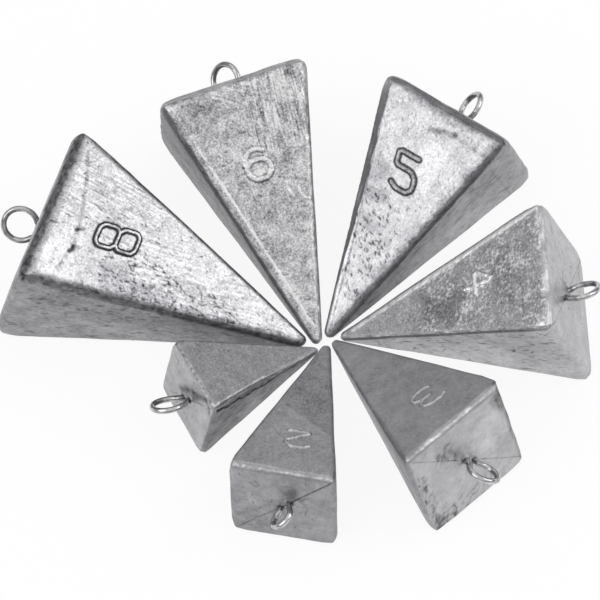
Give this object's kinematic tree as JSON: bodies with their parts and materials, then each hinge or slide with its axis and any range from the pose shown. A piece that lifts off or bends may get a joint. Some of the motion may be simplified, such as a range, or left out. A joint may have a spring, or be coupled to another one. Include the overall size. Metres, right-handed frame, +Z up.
{
  "type": "pyramid fishing sinker set",
  "caption": "Graded set of square-pyramid lead fishing sinkers with a cast-in wire eye in each base, laid on their sides with the points together.",
  "frame": {"origin": "on the table, under the middle of the set's bounding box", "axes": "+Z up from the table; +X along the set's longest side, towards the 4 oz sinker; +Y towards the 6 oz sinker"},
  "size_m": [0.1094, 0.0932, 0.0305],
  "materials": {
    "lead": "dull grey cast lead, bright where rubbed",
    "eye_wire": "bright plated steel wire"
  },
  "bodies": {
    "sinker_8oz": {"casting_8oz": "lead", "wire_eye_8oz": "eye_wire"},
    "sinker_6oz": {"casting_6oz": "lead", "wire_eye_6oz": "eye_wire"},
    "sinker_5oz": {"casting_5oz": "lead", "wire_eye_5oz": "eye_wire"},
    "sinker_4oz": {"casting_4oz": "lead", "wire_eye_4oz": "eye_wire"},
    "sinker_3oz": {"casting_3oz": "lead", "wire_eye_3oz": "eye_wire"},
    "sinker_2oz": {"casting_2oz": "lead", "wire_eye_2oz": "eye_wire"},
    "sinker_1oz": {"casting_1oz": "lead", "wire_eye_1oz": "eye_wire"}
  },
  "joints": [
    {"name": "lift_6oz", "type": "slide", "parent": "sinker_8oz", "child": "sinker_6oz", "axis": [0, 0, 1], "range_m": [0, 0.04]},
    {"name": "lift_5oz", "type": "slide", "parent": "sinker_8oz", "child": "sinker_5oz", "axis": [0, 0, 1], "range_m": [0, 0.04]},
    {"name": "lift_4oz", "type": "slide", "parent": "sinker_8oz", "child": "sinker_4oz", "axis": [0, 0, 1], "range_m": [0, 0.04]},
    {"name": "lift_3oz", "type": "slide", "parent": "sinker_8oz", "child": "sinker_3oz", "axis": [0, 0, 1], "range_m": [0, 0.04]},
    {"name": "lift_2oz", "type": "slide", "parent": "sinker_8oz", "child": "sinker_2oz", "axis": [0, 0, 1], "range_m": [0, 0.04]},
    {"name": "lift_1oz", "type": "slide", "parent": "sinker_8oz", "child": "sinker_1oz", "axis": [0, 0, 1], "range_m": [0, 0.04]}
  ]
}
